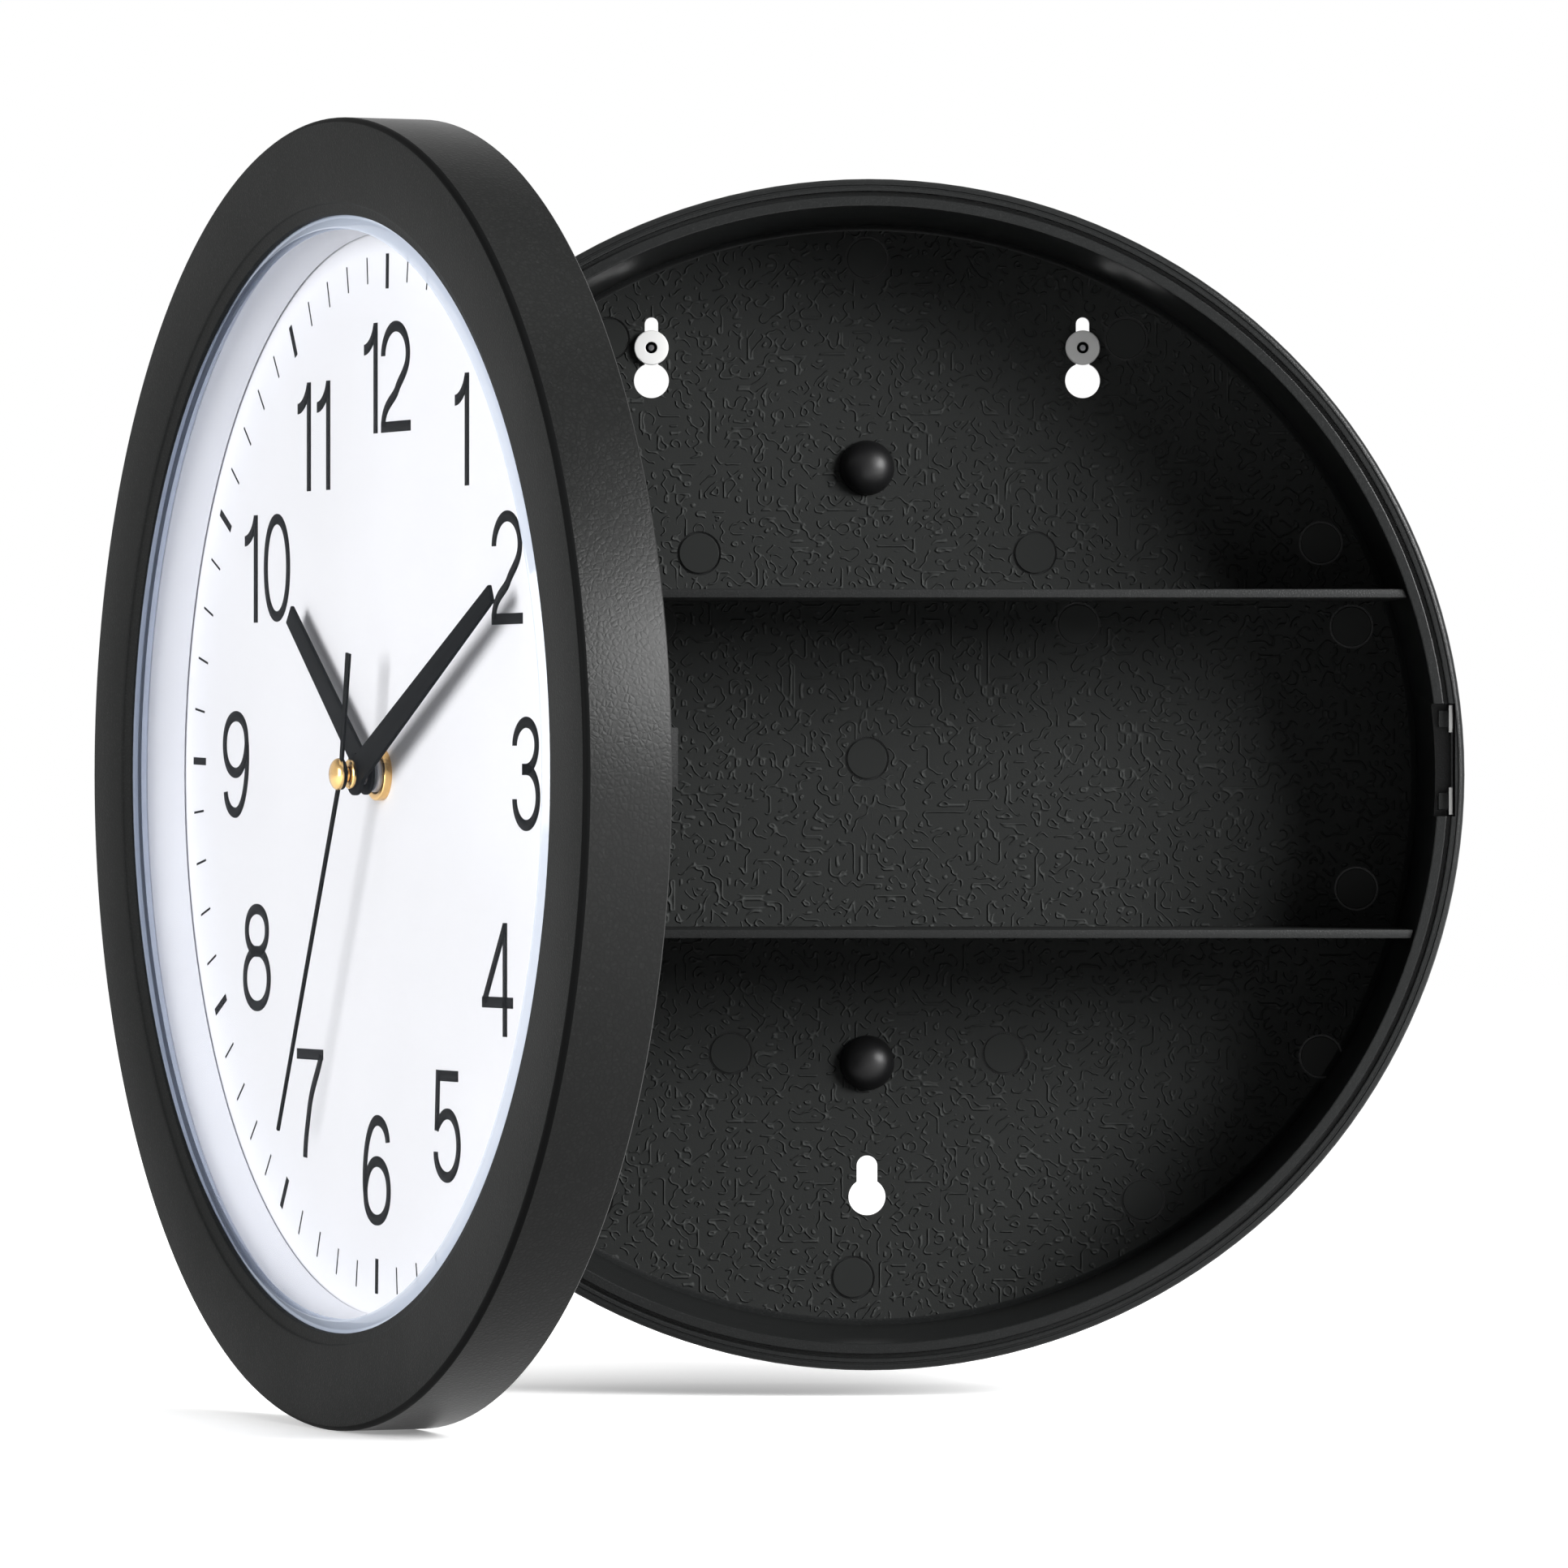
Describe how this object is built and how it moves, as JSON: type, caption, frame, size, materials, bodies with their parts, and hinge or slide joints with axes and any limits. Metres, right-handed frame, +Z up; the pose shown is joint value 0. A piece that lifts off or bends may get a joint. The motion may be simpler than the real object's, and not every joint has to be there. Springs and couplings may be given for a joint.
{
  "type": "wall clock with hidden compartment",
  "caption": "Round wall clock whose dial is a hinged door over a shallow round case with two shelves, standing open.",
  "frame": {"origin": "middle of the case's flat back, on the wall plane", "axes": "+Y from the room into the wall, -Y out of the case to the room, +Z up to twelve o'clock, +X to the right as seen from the room"},
  "size_m": [0.2795, 0.2685, 0.2536],
  "materials": {
    "case_plastic": "black moulded polystyrene, satin",
    "door_plastic": "black moulded polystyrene, fine grain",
    "lens_clear": "clear polystyrene, polished",
    "surround_white": "white moulded, satin",
    "dial_white": "white card print, matte",
    "bumper_rubber": "black, smooth",
    "movement_plastic": "black moulded",
    "natural_plastic": "natural acetal",
    "hand_black": "black lacquer",
    "brass": "turned",
    "steel": "plated",
    "copper_wire": "enamelled copper",
    "board": "solder mask",
    "cell_sleeve": "plain sleeve over steel"
  },
  "bodies": {
    "case": {"case_shell": "case_plastic", "shelf_upper": "case_plastic", "shelf_lower": "case_plastic", "bumper_upper": "bumper_rubber", "bumper_lower": "bumper_rubber", "hanger_left": "surround_white", "hanger_right": "surround_white", "hanger_screw_left": "steel", "hanger_screw_right": "steel", "latch_keeper": "case_plastic", "hinge_pin_upper": "steel", "hinge_pin_lower": "steel"},
    "door": {"door_bezel": "door_plastic", "lens": "lens_clear", "dial_surround": "surround_white", "dial_plate": "dial_white", "door_back_cover": "door_plastic", "cover_screw_1": "steel", "cover_screw_2": "steel", "cover_screw_3": "steel", "cover_screw_4": "steel", "cover_screw_5": "steel", "cover_screw_6": "steel", "movement_case": "movement_plastic", "movement_cover": "movement_plastic", "bearing_plate": "natural_plastic", "contact_positive": "steel", "contact_negative": "steel", "drive_coil": "copper_wire", "stator_plate": "steel", "circuit_board": "board", "crystal": "steel", "centre_bush": "surround_white", "bush_nut": "brass"},
    "battery": {"battery": "cell_sleeve"},
    "hour_hand": {"hour_wheel": "natural_plastic", "hour_hand": "hand_black"},
    "minute_hand": {"centre_wheel": "brass", "minute_hand": "hand_black", "hand_nut": "brass"},
    "second_hand": {"second_wheel": "brass", "second_hand": "hand_black", "second_cap": "brass"},
    "third_wheel": {"third_wheel": "natural_plastic"},
    "step_wheel": {"step_wheel": "natural_plastic"},
    "rotor": {"rotor": "movement_plastic"},
    "motion_wheel": {"motion_wheel": "natural_plastic"},
    "setting_knob": {"setting_knob": "movement_plastic"}
  },
  "joints": [
    {"name": "door_hinge", "type": "hinge", "parent": "case", "child": "door", "pos_m": [-0.1196, -0.0285, 0], "axis": [0, 0, 1], "range_deg": [-44.5, 65.5]},
    {"name": "battery_lift", "type": "slide", "parent": "door", "child": "battery", "axis": [0.91, 0.4147, 0], "range_m": [0, 0.02]},
    {"name": "hour_spin", "type": "hinge", "parent": "door", "child": "hour_hand", "pos_m": [-0.08647, -0.14484, 0], "axis": [0.91, 0.4147, 0], "continuous": true},
    {"name": "minute_spin", "type": "hinge", "parent": "door", "child": "minute_hand", "pos_m": [-0.08647, -0.14484, 0], "axis": [0.91, 0.4147, 0], "continuous": true},
    {"name": "second_spin", "type": "hinge", "parent": "door", "child": "second_hand", "pos_m": [-0.08647, -0.14484, 0], "axis": [0.91, 0.4147, 0], "continuous": true},
    {"name": "third_spin", "type": "hinge", "parent": "door", "child": "third_wheel", "pos_m": [-0.08287, -0.15275, 0.00233], "axis": [0.91, 0.4147, 0], "continuous": true},
    {"name": "step_spin", "type": "hinge", "parent": "door", "child": "step_wheel", "pos_m": [-0.08822, -0.14102, 0.00728], "axis": [0.91, 0.4147, 0], "continuous": true},
    {"name": "rotor_spin", "type": "hinge", "parent": "door", "child": "rotor", "pos_m": [-0.09037, -0.13629, 0.01027], "axis": [0.91, 0.4147, 0], "continuous": true},
    {"name": "motion_spin", "type": "hinge", "parent": "door", "child": "motion_wheel", "pos_m": [-0.08929, -0.13865, 0], "axis": [0.91, 0.4147, 0], "continuous": true},
    {"name": "knob_spin", "type": "hinge", "parent": "door", "child": "setting_knob", "pos_m": [-0.09129, -0.13427, -0.00481], "axis": [0.91, 0.4147, 0], "continuous": true}
  ],
  "couplings": [
    {"joint": "hour_spin", "follows": "minute_spin", "ratio": 0.083333},
    {"joint": "motion_spin", "follows": "minute_spin", "ratio": -0.33333},
    {"joint": "knob_spin", "follows": "minute_spin", "ratio": 1},
    {"joint": "third_spin", "follows": "second_spin", "ratio": -0.13333},
    {"joint": "step_spin", "follows": "second_spin", "ratio": -6},
    {"joint": "rotor_spin", "follows": "second_spin", "ratio": 30}
  ]
}
